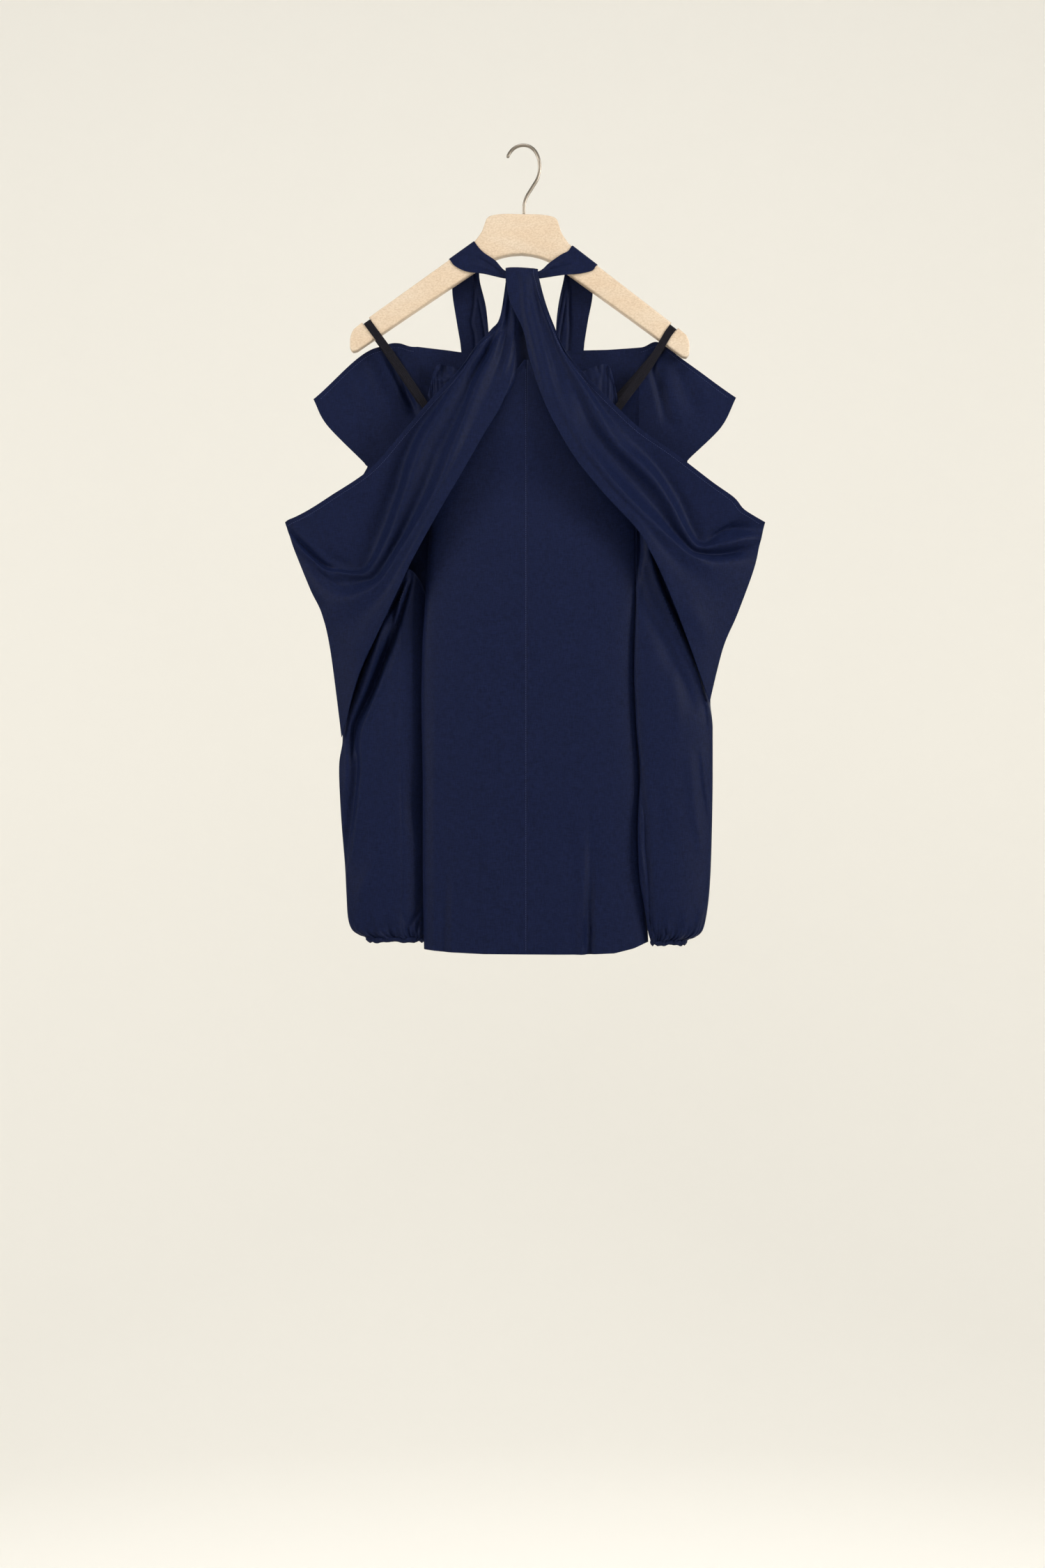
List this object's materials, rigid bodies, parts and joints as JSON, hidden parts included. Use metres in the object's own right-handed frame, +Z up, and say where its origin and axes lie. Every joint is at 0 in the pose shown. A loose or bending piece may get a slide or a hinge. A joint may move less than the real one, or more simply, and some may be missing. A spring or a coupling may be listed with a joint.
{
  "type": "off-shoulder blouse on a hanger",
  "caption": "Navy silk off-shoulder blouse with a twisted halter neck and long gathered sleeves, hanging on a flat wooden hanger.",
  "frame": {"origin": "inside top of the hanger's hook, where a rail or peg carries it", "axes": "+Z up, -Y the garment's front, +X to the right of someone who faces the front"},
  "size_m": [0.6193, 0.0688, 1.0458],
  "materials": {
    "silk_crepe": "soft satin sheen, fine crepe grain",
    "black_elastic": "matt woven elastic",
    "beech": "sanded, clear matt lacquer",
    "steel_wire": "satin nickel-plated wire"
  },
  "bodies": {
    "root": {"hanger_plate": "beech", "hanger_hook": "steel_wire", "halter_left": "silk_crepe", "halter_right": "silk_crepe", "drape_left": "silk_crepe", "drape_right": "silk_crepe", "front_left": "silk_crepe", "front_right": "silk_crepe", "back_body": "silk_crepe", "back_sleeve_left": "silk_crepe", "back_sleeve_right": "silk_crepe", "sleeve_left": "silk_crepe", "sleeve_right": "silk_crepe", "cuff_left": "silk_crepe", "cuff_right": "silk_crepe", "elastic_left": "black_elastic", "elastic_right": "black_elastic", "inner_bodice_left": "silk_crepe", "inner_bodice_right": "silk_crepe"}
  },
  "joints": []
}
